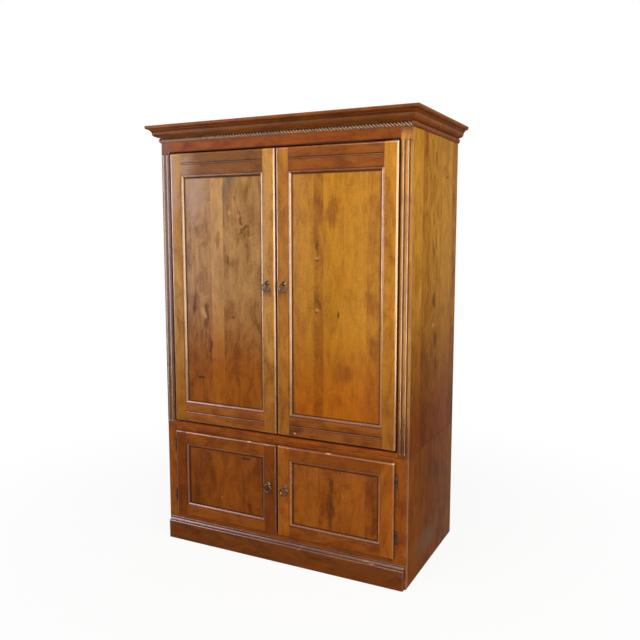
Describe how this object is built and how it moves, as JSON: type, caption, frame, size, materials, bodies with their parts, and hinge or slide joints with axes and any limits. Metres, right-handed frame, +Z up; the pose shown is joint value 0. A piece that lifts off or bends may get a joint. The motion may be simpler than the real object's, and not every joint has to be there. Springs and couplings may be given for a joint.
{
  "type": "entertainment cabinet",
  "caption": "Tall two-piece wooden television cabinet with a bay behind pocket doors, a two-door cupboard below, a moulded cornice with rope trim and ring pulls.",
  "frame": {"origin": "on the floor, under the middle of the whole cabinet's footprint, cornice included", "axes": "+Z up, -Y towards the front of the cabinet, +X to the right of a viewer facing the doors"},
  "size_m": [1.318, 0.7258, 1.98],
  "materials": {
    "case_wood": "honey to red-brown stained hardwood under satin lacquer",
    "door_wood": "honey to red-brown stained hardwood under satin lacquer",
    "door_panel": "glued-up stained hardwood boards under satin lacquer",
    "inner_board": "clear-lacquered veneered board",
    "back_board": "thin stained plywood",
    "dark_bronze": "dark antique bronze, rubbed on the high points",
    "zinc_steel": "zinc-plated steel"
  },
  "bodies": {
    "cabinet": {"base_left_side": "case_wood", "base_right_side": "case_wood", "base_left_stile": "case_wood", "base_right_stile": "case_wood", "base_top_rail": "case_wood", "base_bottom_rail": "case_wood", "plinth_moulding": "case_wood", "upper_left_side": "case_wood", "upper_right_side": "case_wood", "left_fluted_stile": "case_wood", "right_fluted_stile": "case_wood", "frieze_rail": "case_wood", "upper_bottom_rail": "case_wood", "front_cornice": "case_wood", "left_cornice": "case_wood", "right_cornice": "case_wood", "rope_moulding": "case_wood", "base_bottom_panel": "inner_board", "base_top_panel": "inner_board", "adjustable_shelf": "inner_board", "upper_deck": "inner_board", "upper_top_panel": "inner_board", "base_back_panel": "back_board", "upper_back_panel": "back_board", "pocket_tracks": "zinc_steel", "magnetic_catches": "zinc_steel", "shelf_pins": "zinc_steel", "case_hinge_leaves": "dark_bronze"},
    "left_carriage": {"left_door_carriage": "zinc_steel"},
    "upper_left_door": {"upper_left_door_outer_stile": "door_wood", "upper_left_door_inner_stile": "door_wood", "upper_left_door_top_rail": "door_wood", "upper_left_door_bottom_rail": "door_wood", "upper_left_door_panel": "door_panel", "upper_left_pull_post": "dark_bronze"},
    "upper_left_ring": {"upper_left_pull_ring": "dark_bronze"},
    "lower_left_door": {"lower_left_door_outer_stile": "door_wood", "lower_left_door_inner_stile": "door_wood", "lower_left_door_top_rail": "door_wood", "lower_left_door_bottom_rail": "door_wood", "lower_left_door_panel": "door_panel", "lower_left_pull_post": "dark_bronze", "lower_left_door_fittings": "dark_bronze"},
    "lower_left_ring": {"lower_left_pull_ring": "dark_bronze"},
    "right_carriage": {"right_door_carriage": "zinc_steel"},
    "upper_right_door": {"upper_right_door_outer_stile": "door_wood", "upper_right_door_inner_stile": "door_wood", "upper_right_door_top_rail": "door_wood", "upper_right_door_bottom_rail": "door_wood", "upper_right_door_panel": "door_panel", "upper_right_pull_post": "dark_bronze"},
    "upper_right_ring": {"upper_right_pull_ring": "dark_bronze"},
    "lower_right_door": {"lower_right_door_outer_stile": "door_wood", "lower_right_door_inner_stile": "door_wood", "lower_right_door_top_rail": "door_wood", "lower_right_door_bottom_rail": "door_wood", "lower_right_door_panel": "door_panel", "lower_right_pull_post": "dark_bronze", "lower_right_door_fittings": "dark_bronze"},
    "lower_right_ring": {"lower_right_pull_ring": "dark_bronze"}
  },
  "joints": [
    {"name": "left_pocket_slide", "type": "slide", "parent": "cabinet", "child": "left_carriage", "axis": [0, 1, 0], "range_m": [0, 0.43]},
    {"name": "upper_left_door_hinge", "type": "hinge", "parent": "left_carriage", "child": "upper_left_door", "pos_m": [-0.535, -0.2991, 1.22325], "axis": [0, 0, -1], "range_deg": [0, 90]},
    {"name": "lower_left_door_hinge", "type": "hinge", "parent": "cabinet", "child": "lower_left_door", "pos_m": [-0.567, -0.3063, 0.336], "axis": [0, 0, -1], "range_deg": [0, 150]},
    {"name": "upper_left_ring_pivot", "type": "hinge", "parent": "upper_left_door", "child": "upper_left_ring", "pos_m": [-0.0425, -0.3241, 1.271], "axis": [-1, 0, 0], "range_deg": [-10, 95]},
    {"name": "lower_left_ring_pivot", "type": "hinge", "parent": "lower_left_door", "child": "lower_left_ring", "pos_m": [-0.0425, -0.3281, 0.358], "axis": [-1, 0, 0], "range_deg": [-10, 95]},
    {"name": "right_pocket_slide", "type": "slide", "parent": "cabinet", "child": "right_carriage", "axis": [0, 1, 0], "range_m": [0, 0.43]},
    {"name": "upper_right_door_hinge", "type": "hinge", "parent": "right_carriage", "child": "upper_right_door", "pos_m": [0.535, -0.2991, 1.22325], "axis": [0, 0, 1], "range_deg": [0, 90]},
    {"name": "lower_right_door_hinge", "type": "hinge", "parent": "cabinet", "child": "lower_right_door", "pos_m": [0.567, -0.3063, 0.336], "axis": [0, 0, 1], "range_deg": [0, 150]},
    {"name": "upper_right_ring_pivot", "type": "hinge", "parent": "upper_right_door", "child": "upper_right_ring", "pos_m": [0.0425, -0.3241, 1.271], "axis": [-1, 0, 0], "range_deg": [-10, 95]},
    {"name": "lower_right_ring_pivot", "type": "hinge", "parent": "lower_right_door", "child": "lower_right_ring", "pos_m": [0.0425, -0.3281, 0.358], "axis": [-1, 0, 0], "range_deg": [-10, 95]}
  ]
}
